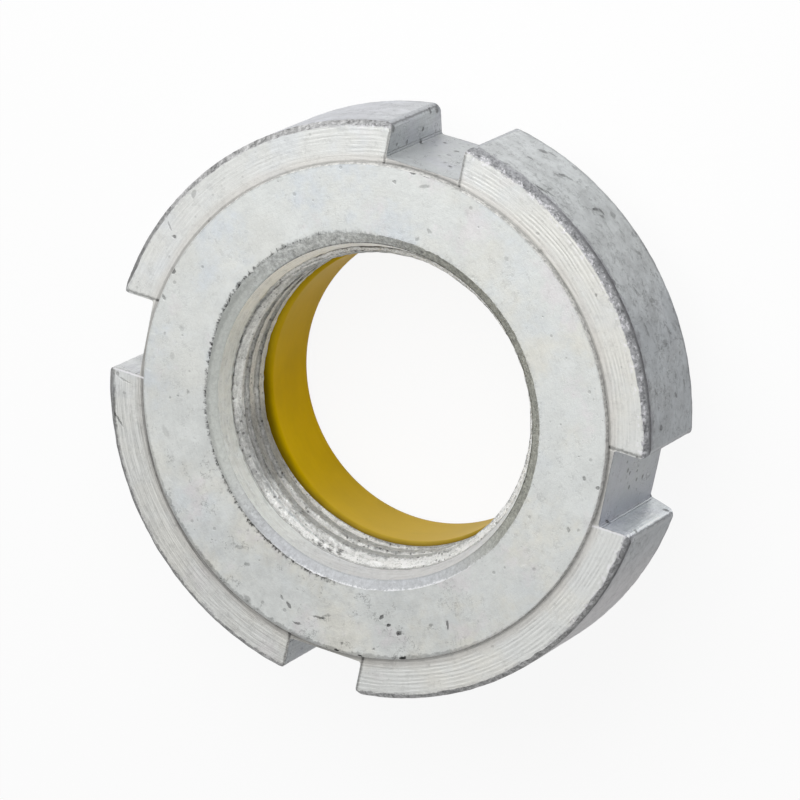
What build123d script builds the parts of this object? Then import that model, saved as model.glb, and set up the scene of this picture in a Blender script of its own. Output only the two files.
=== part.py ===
# Self-locking slotted nut for a fine thread: a turned steel nut with four slots for a hook spanner,
# and a polyamide locking ring held behind the thread by a rolled lip.
# The nut lies flat on its lip with the contact face up. The thread's axis is +Z, the origin is the
# middle of the surface it lies on, and lengths are in millimetres.

from build123d import *
import os
from math import hypot, radians, tan

os.makedirs("parts", exist_ok=True)

# Rim and contact face
rim_diameter = 50.0
rim_height = 10.0
rim_chamfer = 0.5
contact_ring_step = 0.45
annulus_width = 3.5
bevel_angle = 30.0

# Slots for the hook spanner
slot_count = 4
slot_width = 6.8
slot_depth = 3.25
slot_mouth_radius = 0.6
slot_floor_radius = 0.2

# Thread and its lead-in from the contact face
thread_diameter = 28.0
thread_depth = 0.7
lead_in_flare = 0.55
lead_in_length = 1.6
countersink_width = 0.85
countersink_depth = 0.5

# Locking ring, with its bore inside the thread's crests so that the bolt cuts into it
ring_bite = 0.3
ring_wall = 4.2
ring_length = 7.7
ring_edge = 0.4
ring_corner = 0.5
ring_bulge = 0.15

# Lip rolled over the locking ring
lip_wall = 0.9
lip_reach = 2.0
lip_tip_chamfer = 0.3
collar_straight = 0.5

# Radii
rim_radius = rim_diameter / 2
contact_ring_radius = rim_radius - annulus_width
slot_middle_radius = rim_radius - slot_depth / 2
thread_radius = thread_diameter / 2
crest_radius = thread_radius - thread_depth
lead_in_radius = thread_radius + lead_in_flare
mouth_radius = lead_in_radius + countersink_width
ring_bore_radius = crest_radius - ring_bite
seat_radius = ring_bore_radius + ring_wall
lip_radius = seat_radius - lip_reach
collar_radius = seat_radius + lip_wall
roll_centre_radius = seat_radius - ring_corner

# Heights, from the lip up
roll_top = lip_wall + ring_corner
collar_top = roll_top + collar_straight
bevel_top = collar_top + (rim_radius - collar_radius) * tan(radians(bevel_angle))
annulus_height = bevel_top + rim_height
face_height = annulus_height + contact_ring_step
seat_top = lip_wall + ring_length
thread_start = face_height - countersink_depth - lead_in_length


# The steel nut. Its turned form is one revolved section, and the slotted outline is milled from it.
with BuildPart() as nut_body:
    with BuildSketch(Plane.XZ):
        with BuildLine():
            RadiusArc(
                (roll_centre_radius, 0),
                (collar_radius, roll_top),
                -roll_top,
            )
            Polyline(
                (collar_radius, roll_top),
                (collar_radius, collar_top),
                (rim_radius, bevel_top),
                (rim_radius, annulus_height - rim_chamfer),
                (rim_radius - rim_chamfer, annulus_height),
                (contact_ring_radius, annulus_height),
                (contact_ring_radius, face_height),
                (mouth_radius, face_height),
                (lead_in_radius, face_height - countersink_depth),
                (thread_radius, thread_start),
                (crest_radius, thread_start - thread_depth),
                (crest_radius, seat_top),
                (seat_radius, seat_top),
                (seat_radius, roll_top),
                (roll_centre_radius, lip_wall),
                (lip_radius, lip_wall),
                (lip_radius, lip_tip_chamfer),
                (lip_radius + lip_tip_chamfer, 0),
                (roll_centre_radius, 0),
            )
        make_face()
    revolve(axis=Axis.Z)
    with BuildSketch() as slotted_outline:
        Circle(rim_radius)
        with PolarLocations(rim_radius, slot_count):
            Rectangle(2 * slot_depth, slot_width, mode=Mode.SUBTRACT)
        corners = slotted_outline.vertices()
        mouth_corners = corners.filter_by(lambda v: hypot(v.X, v.Y) > slot_middle_radius)
        floor_corners = corners.filter_by(lambda v: hypot(v.X, v.Y) < slot_middle_radius)
        fillet(mouth_corners, slot_mouth_radius)
        fillet(floor_corners, slot_floor_radius)
    extrude(amount=face_height, mode=Mode.INTERSECT)

nut_body.part.label = "nut_body"
export_step(nut_body.part, "parts/nut_body.step")


# The polyamide ring. It fills its seat, bears on the shoulder behind the thread, and swells a little
# through the lip's opening where the lip presses it.
with BuildPart() as locking_ring:
    with BuildSketch(Plane.XZ) as ring_section:
        with BuildLine():
            Polyline(
                (ring_bore_radius, lip_wall - ring_bulge),
                (lip_radius, lip_wall - ring_bulge),
                (lip_radius, lip_wall),
                (roll_centre_radius, lip_wall),
                (seat_radius, roll_top),
                (seat_radius, seat_top),
                (ring_bore_radius, seat_top),
                (ring_bore_radius, lip_wall - ring_bulge),
            )
        make_face()
        bore_corners = ring_section.vertices().group_by(Axis.X)[0]
        chamfer(bore_corners, ring_edge)
    revolve(axis=Axis.Z)

locking_ring.part.label = "locking_ring"
export_step(locking_ring.part, "parts/locking_ring.step")
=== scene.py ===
# %% [markdown]
# # A self-locking slotted nut in Blender
#
# The real object is a turned steel nut with four slots for a hook spanner, plated with bright zinc.
# Behind its thread sits a yellow polyamide ring, which grips the bolt so that the nut can't shake loose.
# The solids come from the frame at their real size. This script gives them their looks: the helical
# thread, the turned rings, worn edges, the plating and the plastic. It works in millimetres and turns
# them into metres only when a mesh is made.

# %% Frame
import math

import bmesh
import bpy
import numpy as np
from mathutils import Matrix, Vector, noise


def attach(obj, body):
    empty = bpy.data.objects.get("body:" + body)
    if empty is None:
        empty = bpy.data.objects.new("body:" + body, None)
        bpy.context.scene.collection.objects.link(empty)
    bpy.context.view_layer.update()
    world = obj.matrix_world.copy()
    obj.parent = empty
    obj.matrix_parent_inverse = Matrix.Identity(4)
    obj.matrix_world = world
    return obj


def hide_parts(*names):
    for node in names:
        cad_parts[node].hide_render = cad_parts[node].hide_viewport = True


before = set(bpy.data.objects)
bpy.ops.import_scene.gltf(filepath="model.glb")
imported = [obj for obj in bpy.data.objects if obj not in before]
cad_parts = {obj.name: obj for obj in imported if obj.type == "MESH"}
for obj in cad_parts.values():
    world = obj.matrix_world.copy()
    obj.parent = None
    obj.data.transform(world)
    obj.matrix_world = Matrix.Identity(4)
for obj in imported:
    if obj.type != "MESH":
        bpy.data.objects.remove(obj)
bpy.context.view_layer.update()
METRE = 0.001
print("solids in the frame:", ", ".join(sorted(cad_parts)))

# %% [markdown]
# ## Sizes
#
# The nut lies on its rolled lip with the thread's axis upright, so nearly every surface is a radius and
# a height. The largest radius and the height are read from the frame, and the others are the sizes that
# a turner would find on the drawing.

# %% Sizes of the nut
nut_points = np.array([vertex.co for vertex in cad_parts["nut_body"].data.vertices]) / METRE
rim_radius = round(float(np.hypot(nut_points[:, 0], nut_points[:, 1]).max()), 2)
face_height = float(nut_points[:, 2].max())

contact_ring_radius = rim_radius - 3.5
contact_ring_step = 0.45
annulus_height = face_height - contact_ring_step
bevel_top = annulus_height - 10.0
bevel_slope = math.tan(math.radians(30))
slot_half = 3.4
slot_floor = rim_radius - 3.25
mouth_fillet = 0.6
floor_fillet = 0.2

thread_radius = 14.0
crest_radius = 13.3
pitch = 2.0
lead_in_radius = 14.55
mouth_radius = 15.4
countersink_depth = 0.5
thread_top = face_height - countersink_depth - 1.6

ring_bore = 13.0
ring_edge = 0.4
seat_radius = 17.2
seat_top = 8.6
seat_corner = 0.5
lip_wall = 0.9
lip_radius = 15.2
lip_chamfer = 0.3
collar_radius = seat_radius + lip_wall
roll_radius = lip_wall + seat_corner
collar_top = bevel_top - (rim_radius - collar_radius) * bevel_slope
seat_middle = 5.0
print(f"rim radius {rim_radius} mm, height {face_height:.2f} mm, collar up to {collar_top:.2f} mm")

# %% [markdown]
# ## The slotted outline
#
# Seen from above, one eighth of the nut holds everything: half a slot's floor, one slot wall and half
# a tooth. The rest is that eighth mirrored and turned. The slot's wall is a straight line that a small
# fillet joins to the round rim, and these helpers give the fillet's points from the two lines it
# touches, so the corner stays true if a size changes.

# %% The corner between a slot's wall and the rim
fillet_y = slot_half + mouth_fillet
fillet_x = math.sqrt((rim_radius - mouth_fillet) ** 2 - fillet_y ** 2)
fillet_reach = math.hypot(fillet_x, fillet_y)
fillet_end = math.atan2(fillet_y, fillet_x)
wall_start = slot_floor + floor_fillet
wall_straight = fillet_x - wall_start
corner_radius = math.hypot(wall_start, slot_half)
wall_length = wall_straight + mouth_fillet * (fillet_end + math.pi / 2)


def wall_point(along):
    """The place in plan, x and y, at a distance along the slot's wall and its fillet."""
    turn = np.clip((along - wall_straight) / mouth_fillet, 0, None) - math.pi / 2
    straight = along < wall_straight
    x = np.where(straight, wall_start + along, fillet_x + mouth_fillet * np.cos(turn))
    y = np.where(straight, slot_half, fillet_y + mouth_fillet * np.sin(turn))
    return x, y


def wall_distance(radius):
    """The distance along the slot's wall and its fillet at which it has this radius."""
    square = np.clip(np.square(radius) - slot_half ** 2, 0, None)
    cosine = (np.square(radius) - fillet_reach ** 2 - mouth_fillet ** 2) / (2 * mouth_fillet * fillet_reach)
    turn = fillet_end - np.arccos(np.clip(cosine, -1, 1))
    on_line = np.sqrt(square) - wall_start
    on_arc = wall_straight + mouth_fillet * (turn + math.pi / 2)
    return np.where(on_line < wall_straight, on_line, on_arc)


print(f"slot wall {wall_straight:.2f} mm straight, {wall_length:.2f} mm with its fillet")

# %% [markdown]
# ## Noise for the mesh
#
# Real turned steel is never quite even. One seeded noise function moves the vertices a few hundredths
# of a millimetre. It reads only a vertex's place, so two vertices at one place always move together
# and the mesh stays closed.

# %% Noise at every vertex
def roughness_of(points, size, seed):
    """Smooth noise between about -1 and 1 at each point, with lumps of the given size in millimetres."""
    shift = Vector((seed * 7.3, seed * 3.1, seed * 5.7))
    flat = points.reshape(-1, 3) / size
    return np.array([noise.noise(Vector(p) + shift) for p in flat]).reshape(points.shape[:-1])


def around(angle, lumps, seed):
    """Noise along a circle, with this many lumps in a turn."""
    circle = np.stack([np.cos(angle), np.sin(angle), np.zeros_like(angle)], axis=-1)
    return roughness_of(circle * lumps / (2 * math.pi), 1.0, seed)


# %% [markdown]
# ## The grid
#
# The body is one closed tube: rows follow its turned section and columns go round it. A slot is worked
# into that tube without any cutting. On the columns of a slot the rows of the rim lie on the slot's
# flat floor, and on the columns of a wall they fan out from the tooth's outline to that floor. All
# faces are quads that follow the real edges, which keeps the edges crisp and the shading clean.
#
# A boolean cut would be shorter to write, but it leaves long thin triangles along the edges, and the
# wear on those edges could not be modelled.

# %% Columns of one eighth of the nut
floor_columns = 6
floor_fillet_columns = 3
wall_columns = 8
tooth_columns = 50


def shares(count):
    """Fractions in equal steps from 0, without the last one, 1."""
    return np.linspace(0, 1, count + 1)[:-1]


flat_y = np.linspace(0, slot_half - floor_fillet, floor_columns + 1)
bend = np.linspace(0, math.pi / 2, floor_fillet_columns + 1)[1:]
floor_y = np.concatenate([flat_y, slot_half - floor_fillet + floor_fillet * np.sin(bend)])
floor_x = np.concatenate([np.full(floor_columns + 1, slot_floor), wall_start - floor_fillet * np.cos(bend)])

slot_count = len(floor_y)
wall_share = np.linspace(0, 1, wall_columns + 1)[1:]
tooth_share = np.linspace(0, 0.5, tooth_columns + 1)[1:]
corner_angle = math.atan2(slot_half, wall_start)
before_corner = math.radians(0.4)
past_corner = math.radians(0.6)
slot_end = corner_angle - before_corner
tooth_start = corner_angle + past_corner
ring_angle = np.concatenate([
    np.linspace(0, slot_end, slot_count),
    np.linspace(slot_end, tooth_start, wall_columns + 1)[1:],
    np.linspace(tooth_start, math.pi / 4, tooth_columns + 1)[1:],
])
eighth = len(ring_angle)
column_count = 8 * (eighth - 1)
print(f"{column_count} columns round the nut")

# %% [markdown]
# ## Wear on the edges
#
# The photograph shows a front chamfer that the tumbling barrel has battered: about half a millimetre
# wide, wider and deeper on one side, and ragged everywhere. The mouth of the bore carries a small
# burr. Both are made by letting the chamfer's size and the mouth's radius wander with the angle.

# %% Sizes that wander round the nut
chamfer_width = 0.42
chamfer_depth = 0.46
worn_side = math.radians(-45)
wide_side = math.radians(50)


def on_worn_side(angle):
    """1 in the middle of the battered side of the nut, 0 on the far side."""
    return np.clip(np.cos(angle - worn_side), 0, 1) ** 2


def chamfer_width_at(angle):
    ragged = 0.12 * around(angle, 60, 1) + 0.11 * around(angle, 190, 2)
    return chamfer_width + 0.08 * on_worn_side(angle) + ragged


def chamfer_depth_at(angle):
    ragged = 0.10 * around(angle, 44, 3) + 0.06 * around(angle, 170, 4)
    return chamfer_depth + 0.45 * on_worn_side(angle) + ragged


def mouth_radius_at(angle):
    """The mouth is torn a little, and wider on one side."""
    wide = np.clip((np.cos(angle - wide_side) - 0.75) / 0.25, 0, 1)
    torn = 0.06 * around(angle, 50, 5) + 0.09 * around(angle, 210, 6) ** 3 * 4
    return mouth_radius + 0.35 * wide ** 2 * (3 - 2 * wide) + torn


def front_height(radius, angle):
    """The height of the rim's front: the annulus, and the worn chamfer that leads down from it."""
    width = chamfer_width_at(angle)
    past = np.clip(radius - (rim_radius - width), 0, None) / width
    return annulus_height - chamfer_depth_at(angle) * past


def back_height(radius, angle=0):
    """The height of the bevel behind the rim, which is the same at every angle."""
    return bevel_top - (rim_radius - radius) * bevel_slope


# %% [markdown]
# ## Rows of the rim
#
# These rows run from the corner at the back of a slot, out over the bevel, up the rim, over the chamfer
# and back in across the annulus to the corner at the front. Each row is a fraction between two radii,
# because the chamfer's edge wanders.

# %% Stretches of the rim, as sections from the back to the front
bevel_rows = 5
fillet_rows = 5
rim_rows = 24
chamfer_shares = (0, 0.12, 0.35, 0.66)
annulus_rows = 26
skirt_rows = 10
face_rows = 16
back_skirt_rows = 3


def rim_section(angle):
    """The stretch that each rim row begins, and the row's radius and height at these angles."""
    edge = rim_radius - chamfer_width_at(angle)
    top = annulus_height - chamfer_depth_at(angle)
    bevel = [corner_radius + share * (fillet_reach - corner_radius) for share in shares(bevel_rows)]
    bevel += [fillet_reach + math.sin(share * math.pi / 2) * mouth_fillet for share in shares(fillet_rows)]
    rows = [("bevel", radius, back_height(radius)) for radius in bevel]
    rows += [("rim", rim_radius, bevel_top + share * (top - bevel_top)) for share in shares(rim_rows)]
    front = [("chamfer", rim_radius + (edge - rim_radius) * share) for share in chamfer_shares]
    for share in np.linspace(0, 1, annulus_rows + 1):
        front.append(("annulus", edge + share * (corner_radius - edge)))
    rows += [(name, radius, front_height(radius, angle)) for name, radius in front]
    stretch, radii, heights = zip(*rows)
    radii, heights = (np.array([value + 0 * angle for value in part]) for part in (radii, heights))
    return stretch, radii, heights


# %% [markdown]
# ## One eighth, then the whole
#
# The angle that drives the wear is the vertex's final angle on the nut, so the eighth is worked out
# again for each of its eight places, and no two teeth come out alike.

# %% Vertices of one eighth
def place_angle(local, quarter, mirrored):
    """The final angle on the nut of an angle between 0 and 45 degrees on the eighth."""
    local = math.pi / 2 - local if mirrored else local
    return local + quarter * math.pi / 2


def rim_eighth(quarter, mirrored):
    """The stretch, plan x and y and height of each rim row on one eighth."""
    stretch, radii, heights = rim_section(place_angle(ring_angle, quarter, mirrored))
    x, y, z = np.zeros((3, *radii.shape))

    first_tooth = slot_count + wall_columns - 1
    tooth = slice(first_tooth, eighth)
    share = np.concatenate([[0], tooth_share])
    edge_x, edge_y = wall_point(wall_distance(radii[:, tooth]))
    edge_angle = np.arctan2(edge_y, edge_x)
    angle = edge_angle + share * 2 * (math.pi / 4 - edge_angle)
    x[:, tooth] = radii[:, tooth] * np.cos(angle)
    y[:, tooth] = radii[:, tooth] * np.sin(angle)
    z[:, tooth] = heights[:, tooth]

    along = wall_distance(radii[:, first_tooth])
    side_height = heights[:, first_tooth]
    steps = np.hypot(np.diff(along), np.diff(side_height))
    climb = np.concatenate([[0], np.cumsum(steps)]) / steps.sum()

    for column in range(slot_count):
        low = back_height(math.hypot(floor_x[column], floor_y[column]))
        x[:, column] = floor_x[column]
        y[:, column] = floor_y[column]
        z[:, column] = low + climb * (annulus_height - low)
    foot = z[:, slot_count - 1]
    for step, part in enumerate(wall_share[:-1]):
        column = slot_count + step
        x[:, column], y[:, column] = wall_point(along * part)
        z[:, column] = foot + part * (side_height - foot)
    return stretch, x, y, z


# %% Rows between the slotted outline and the contact ring
def skirt_eighth(corner_x, corner_y, height_of, quarter, mirrored, count):
    """Rows between the slotted outline and the circle of the contact ring, outline first."""
    outline_angle = np.arctan2(corner_y, corner_x)
    outline_radius = np.hypot(corner_x, corner_y)
    rows = []
    for share in np.linspace(0, 1, count + 1)[1:]:
        radius = outline_radius + share * (contact_ring_radius - outline_radius)
        angle = outline_angle + share * (ring_angle - outline_angle)
        height = height_of(radius, place_angle(angle, quarter, mirrored))
        rows.append((radius * np.cos(angle), radius * np.sin(angle), height))
    return rows


# %% [markdown]
# ## The turned rows
#
# Inside the circle of the contact ring the nut is a plain turned shape, so a row is a radius and a
# height for each column. The front rows go from the ring's step across the contact face, over the
# ragged mouth and down the smooth lead-in to where the thread starts. The back rows go from the
# thread's far end over the seat of the plastic ring and round the rolled lip to the bevel.

# %% The thread's section
crest_half = 0.235
root_start = 0.437
thread_phase = [-crest_half, -0.08, 0.08, crest_half, 0.30, 0.37, root_start, 1 - root_start, 0.63, 0.70]
first_crest_depth = 1.12


def crest_height(angle):
    """The height of the first crest: it climbs one pitch in a turn, as on a right-handed thread."""
    return face_height - first_crest_depth + pitch * angle / (2 * math.pi)


def thread_wall(height, angle):
    """The radius of the bore's wall: the thread, cut away by the lead-in chamfer at its start."""
    turns = (crest_height(angle) - height) / pitch
    from_crest = np.abs(np.mod(turns + 0.5, 1.0) - 0.5)
    depth = np.clip((from_crest - crest_half) / (root_start - crest_half), 0, 1)
    cut = thread_radius - (thread_top - height)
    return np.maximum(crest_radius + depth * (thread_radius - crest_radius), cut)


# %% Rows of the front and of the back
step_lean = 0.1
edge_wear = 0.13
seat_face_radii = (14.6, 15.9, seat_radius)


def front_rows(angle):
    """Zone, radius and height of the rows from the contact ring's step to the thread's start."""
    mouth = mouth_radius_at(angle)
    edge = contact_ring_radius - edge_wear - 0.03 * around(angle, 150, 8)
    bottom = face_height - countersink_depth
    rows = []
    for share in (0.12, 0.5, 0.88):
        height = annulus_height + share * contact_ring_step
        rows.append(("step", contact_ring_radius - step_lean * share, height))
    for share in shares(face_rows):
        rows.append(("contact_face", edge + share * (mouth - edge), face_height))
    for share in (0.0, 0.33, 0.66):
        radius = mouth + share * (lead_in_radius - mouth)
        rows.append(("countersink", radius, face_height - share * countersink_depth))
    for share in (0.0, 0.06, 0.3, 0.55, 0.8, 1.0):
        radius = lead_in_radius + share * (thread_radius - lead_in_radius)
        rows.append(("lead_in", radius, bottom + share * (thread_top - bottom)))
    return rows


def back_rows(angle):
    """Zone, radius and height of the rows from the thread's far end round the lip to the bevel."""
    roll_middle = seat_radius - seat_corner
    rows = [("seat", thread_wall(seat_top, angle), seat_top)]
    rows += [("seat", radius, seat_top) for radius in seat_face_radii]
    rows += [("seat", seat_radius, height) for height in (seat_middle, roll_radius)]
    rows.append(("seat", roll_middle, lip_wall))
    rows += [("lip", lip_radius, height) for height in (lip_wall, lip_chamfer)]
    rows.append(("lip", lip_radius + lip_chamfer, 0))
    for turn in np.linspace(0, 1, 8) * math.pi / 2:
        rows.append(("lip", roll_middle + roll_radius * math.sin(turn), roll_radius * (1 - math.cos(turn))))
    for share in np.linspace(0, 1, 7):
        radius = collar_radius + share * (contact_ring_radius - collar_radius)
        rows.append(("bevel", radius, back_height(radius)))
    return rows


# %% [markdown]
# ## Joining the rows
#
# The rows are stacked in the order in which a tool would trace the section: from the thread's far end
# round the back, over the rim, across the front and down to the thread's start.

# %% The whole body, apart from its thread
def turn_plan(x, y, quarter, mirrored):
    """Mirrors plan points about the 45 degree line and turns them to their quarter."""
    if mirrored:
        x, y = y, x
    c, s = round(math.cos(quarter * math.pi / 2)), round(math.sin(quarter * math.pi / 2))
    return c * x - s * y, s * x + c * y


def stack_eighth(quarter, mirrored):
    """The zones and points of every row on one eighth, without its last column."""
    stretch, *plan = rim_eighth(quarter, mirrored)
    rim_part = list(zip(*plan))
    behind = skirt_eighth(*rim_part[0][:2], back_height, quarter, mirrored, back_skirt_rows)
    ahead = skirt_eighth(*rim_part[-1][:2], front_height, quarter, mirrored, skirt_rows)
    angle = place_angle(ring_angle, quarter, mirrored)
    ahead_zones = ["annulus"] * (skirt_rows - 1) + ["step"]
    cosine, sine = np.cos(ring_angle), np.sin(ring_angle)

    def turned_rows(section):
        return [(zone, radius * cosine, radius * sine, height) for zone, radius, height in section]

    rows = turned_rows(back_rows(angle)[:-1])
    rows += [("bevel", *row) for row in reversed(behind)]
    rows += [(zone, *row) for zone, row in zip([*stretch, *ahead_zones], rim_part + ahead)]
    rows += turned_rows(front_rows(angle))

    x, y, z = np.moveaxis(np.array([np.broadcast_arrays(*row[1:]) for row in rows]), 1, 0)
    points = np.stack([*turn_plan(x, y, quarter, mirrored), z], axis=-1)
    if mirrored:
        points = points[:, ::-1]
    return [row[0] for row in rows], points[:, :-1]


zones, pieces = [], []
for quarter in range(4):
    for mirrored in (False, True):
        zones, points = stack_eighth(quarter, mirrored)
        pieces.append(points)
body_points = np.concatenate(pieces, axis=1)
print(f"body grid {body_points.shape[0]} rows by {body_points.shape[1]} columns")

# %% [markdown]
# ## The helical thread
#
# A screw thread isn't a stack of rings. Each of its rows here climbs one pitch in a turn, so the last
# column of a row meets the first column of the row above it. The rows are clamped to the heights at
# which the thread starts and ends, and the points that fall together there are welded.

# %% Rows of the thread
def column_angles():
    """The angle of every column of the grid, and the full turn that closes the helix."""
    angles = []
    for quarter in range(4):
        angles.append(ring_angle[:-1] + quarter * math.pi / 2)
        angles.append((math.pi / 2 - ring_angle[::-1] + quarter * math.pi / 2)[:-1])
    return np.concatenate(angles + [[2 * math.pi]])


turn_angles = column_angles()
lowest_turn = math.ceil((crest_height(2 * math.pi) - seat_top) / pitch)
thread_rows = []
for turn in range(lowest_turn + 1):
    for phase in thread_phase:
        height = np.clip(crest_height(turn_angles) - pitch * (turn + phase), seat_top, thread_top)
        radius = thread_wall(height, turn_angles)
        row = [radius * np.cos(turn_angles), radius * np.sin(turn_angles), height]
        thread_rows.append(np.stack(row, axis=-1))
thread_points = np.array(thread_rows)
print(f"thread grid {thread_points.shape[0]} rows, crest radius {crest_radius} mm")

# %% [markdown]
# ## Small unevenness
#
# Now every vertex moves a little: the thread the most, because its flanks are torn and then plated, the
# rim next, and the turned faces hardly at all.

# %% Unevenness that depends only on the place
lump_size = 0.55
plain_move = 0.008
thread_move = 0.05
rim_move = 0.02


def ramp(value, low, high):
    """0 below low, 1 above high, and straight between."""
    return np.clip((value - low) / (high - low), 0, 1)


def roughened(points):
    """The points, each moved by noise in all three directions."""
    radius = np.hypot(points[..., 0], points[..., 1])
    in_thread = 1 - ramp(radius, thread_radius + 0.05, thread_radius + 0.3)
    in_thread = in_thread * ramp(points[..., 2], seat_top, seat_top + 0.3)
    on_rim = ramp(radius, rim_radius - 1.5, rim_radius - 0.1)
    amount = plain_move + thread_move * in_thread + rim_move * on_rim
    moves = [amount * roughness_of(points, lump_size, 11 + axis) for axis in range(3)]
    return points + np.stack(moves, axis=-1)


body_points = roughened(body_points)
thread_points = roughened(thread_points)
print(f"unevenness up to about {plain_move + thread_move} mm in the thread")

# %% [markdown]
# ## The mesh
#
# Both grids go into one mesh, their shared points are welded, and faces that lost an edge in the weld
# become triangles. Each face gets the finish of its zone, and an edge sharper than 25 degrees stays
# crisp while everything else is shaded smoothly.

# %% Faces and zones
finish_order = [
    "back", "rim", "chamfer", "annulus", "step", "contact_face", "countersink", "lead_in", "thread", "slot",
]
back_zones = ("seat", "lip", "bevel")
first_tooth = slot_count + wall_columns - 1
rim_first = len(back_rows(ring_angle)) - 1 + back_skirt_rows
rim_last = rim_first + bevel_rows + fillet_rows + rim_rows + len(chamfer_shares) + annulus_rows


def zone_of(row, column):
    """The zone of the face between this row and column and the next ones."""
    quarter = 2 * (eighth - 1)
    local = column % quarter
    local = min(local, quarter - 1 - local)
    if rim_first <= row < rim_last and local < first_tooth:
        return "slot"
    return zones[row]


def grid_quads(rows, columns, wrapped, first):
    """Corner numbers of all the quads of a grid."""
    next_columns = (np.arange(columns) + 1) % columns if wrapped else np.arange(columns - 1) + 1
    here = np.arange(len(next_columns))
    low = first + np.arange(rows - 1)[:, None] * columns
    high = low + columns
    return np.stack([low + here, low + next_columns, high + next_columns, high + here], axis=-1)


body_rows, body_columns = body_points.shape[:2]
body_quads = grid_quads(body_rows, body_columns, True, 0)
body_zones = [[zone_of(row, column) for column in range(body_columns)] for row in range(body_rows - 1)]
thread_quads = grid_quads(*thread_points.shape[:2], False, body_rows * body_columns)
corners = np.concatenate([body_points.reshape(-1, 3), thread_points.reshape(-1, 3)]) * METRE
quads = np.concatenate([body_quads.reshape(-1, 4), thread_quads.reshape(-1, 4)])
quad_zones = [name for row in body_zones for name in row] + ["thread"] * thread_quads[..., 0].size
quad_finish = [finish_order.index("back" if name in back_zones else name) for name in quad_zones]
print(f"{len(quads)} quads in {len(finish_order)} zones")


# %% The mesh of the steel nut
def mesh_object(name, vertices, faces, sharp_degrees, finishes=None):
    """A welded, closed mesh whose normals point outwards, as a new object."""
    mesh = bpy.data.meshes.new(name)
    mesh.from_pydata([tuple(v) for v in vertices], [], [tuple(f) for f in faces])
    if finishes is not None:
        mesh.polygons.foreach_set("material_index", finishes)
    work = bmesh.new()
    work.from_mesh(mesh)
    bmesh.ops.remove_doubles(work, verts=work.verts, dist=2e-7)
    bmesh.ops.dissolve_degenerate(work, edges=work.edges, dist=1e-8)
    bmesh.ops.recalc_face_normals(work, faces=work.faces)
    open_edges = sum(1 for edge in work.edges if not edge.is_manifold)
    triangles = sum(len(face.verts) - 2 for face in work.faces)
    work.to_mesh(mesh)
    work.free()
    mesh.shade_smooth()
    mesh.set_sharp_from_angle(angle=math.radians(sharp_degrees))
    made = bpy.data.objects.new(name, mesh)
    bpy.context.scene.collection.objects.link(made)
    print(f"{name}: {triangles} triangles, {open_edges} open edges")
    return made


nut_steel = mesh_object("nut_steel", corners, quads, 25, quad_finish)
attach(nut_steel, "root")
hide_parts("nut_body")

# %% [markdown]
# ## The locking ring
#
# The ring is pressed in and never turned again, so a revolved section gives its whole shape. Its bore is
# a hair smaller than the thread's crests, because the bolt has to cut its own thread into the plastic.
# Both bore corners have a small chamfer, cut here in two steps so that light runs round them.

# %% The polyamide ring
ring_columns = 360
ring_back = 0.75
bore_rows = 24
edge_bend = (0.1, 0.28)
wobble_size = 0.02
face_middle = 15.0
back_middle = 14.3


def ring_section():
    """Radius and height of the ring's section, from its front face round the bore to its back."""
    bore_heights = np.linspace(seat_top - ring_edge, ring_back + ring_edge, bore_rows)
    edge_end, edge_middle = ring_bore + ring_edge, ring_bore + edge_bend[0]
    front = [(radius, seat_top) for radius in (seat_radius, face_middle, edge_end)]
    front.append((edge_middle, seat_top - edge_bend[1]))
    bore = [(ring_bore, height) for height in bore_heights]
    back = [(edge_middle, ring_back + edge_bend[1]), (edge_end, ring_back), (back_middle, ring_back)]
    lip_side = [(lip_radius, ring_back), (lip_radius, lip_wall), (seat_radius - seat_corner, lip_wall)]
    seat = [(seat_radius, roll_radius), (seat_radius, seat_middle)]
    return np.array(front + bore + back + lip_side + seat)


section = ring_section()
ring_turn = np.linspace(0, 2 * math.pi, ring_columns, endpoint=False)
section_radius = np.append(section[:, 0], section[0, 0])[:, None]
section_height = np.append(section[:, 1], section[0, 1])[:, None]
wobble = wobble_size * around(ring_turn, 9, 31)[None, :] * (section_radius < ring_bore + 0.05)
ring_points = np.stack([
    (section_radius + wobble) * np.cos(ring_turn),
    (section_radius + wobble) * np.sin(ring_turn),
    section_height + 0 * ring_turn,
], axis=-1)
ring_quads = grid_quads(len(section) + 1, ring_columns, True, 0)
ring_corners = ring_points.reshape(-1, 3) * METRE
polyamide_ring = mesh_object("polyamide_ring", ring_corners, ring_quads.reshape(-1, 4), 60)
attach(polyamide_ring, "root")
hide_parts("locking_ring")

# %% [markdown]
# ## Shader maths
#
# Every finish below is worked out from the place on the nut, so it needs no picture and no UV map. To
# keep the maths readable, a small class wraps a node's output, and plain Python expressions on it add
# Math nodes.

# %% Wires
def operator(operation, swapped=False):
    """A method of a wire that adds one Math node."""

    def add_node(wire, *others):
        terms = (*others, wire) if swapped else (wire, *others)
        return wire.maths(operation, *terms)

    return add_node


class Wire:
    """A node's output. Expressions on wires and numbers add Math nodes."""

    def __init__(self, finish, socket):
        self.finish = finish
        self.socket = socket

    def other(self, out):
        """Another output of the same node."""
        return Wire(self.finish, self.socket.node.outputs[out])

    def maths(self, operation, *terms):
        return self.finish.node("ShaderNodeMath", {"operation": operation}, dict(enumerate(terms)))

    __add__ = operator("ADD")
    __radd__ = operator("ADD", swapped=True)
    __sub__ = operator("SUBTRACT")
    __rsub__ = operator("SUBTRACT", swapped=True)
    __mul__ = operator("MULTIPLY")
    __rmul__ = operator("MULTIPLY", swapped=True)
    __truediv__ = operator("DIVIDE")
    __pow__ = operator("POWER")
    __abs__ = operator("ABSOLUTE")
    at_least = operator("MAXIMUM")


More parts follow.
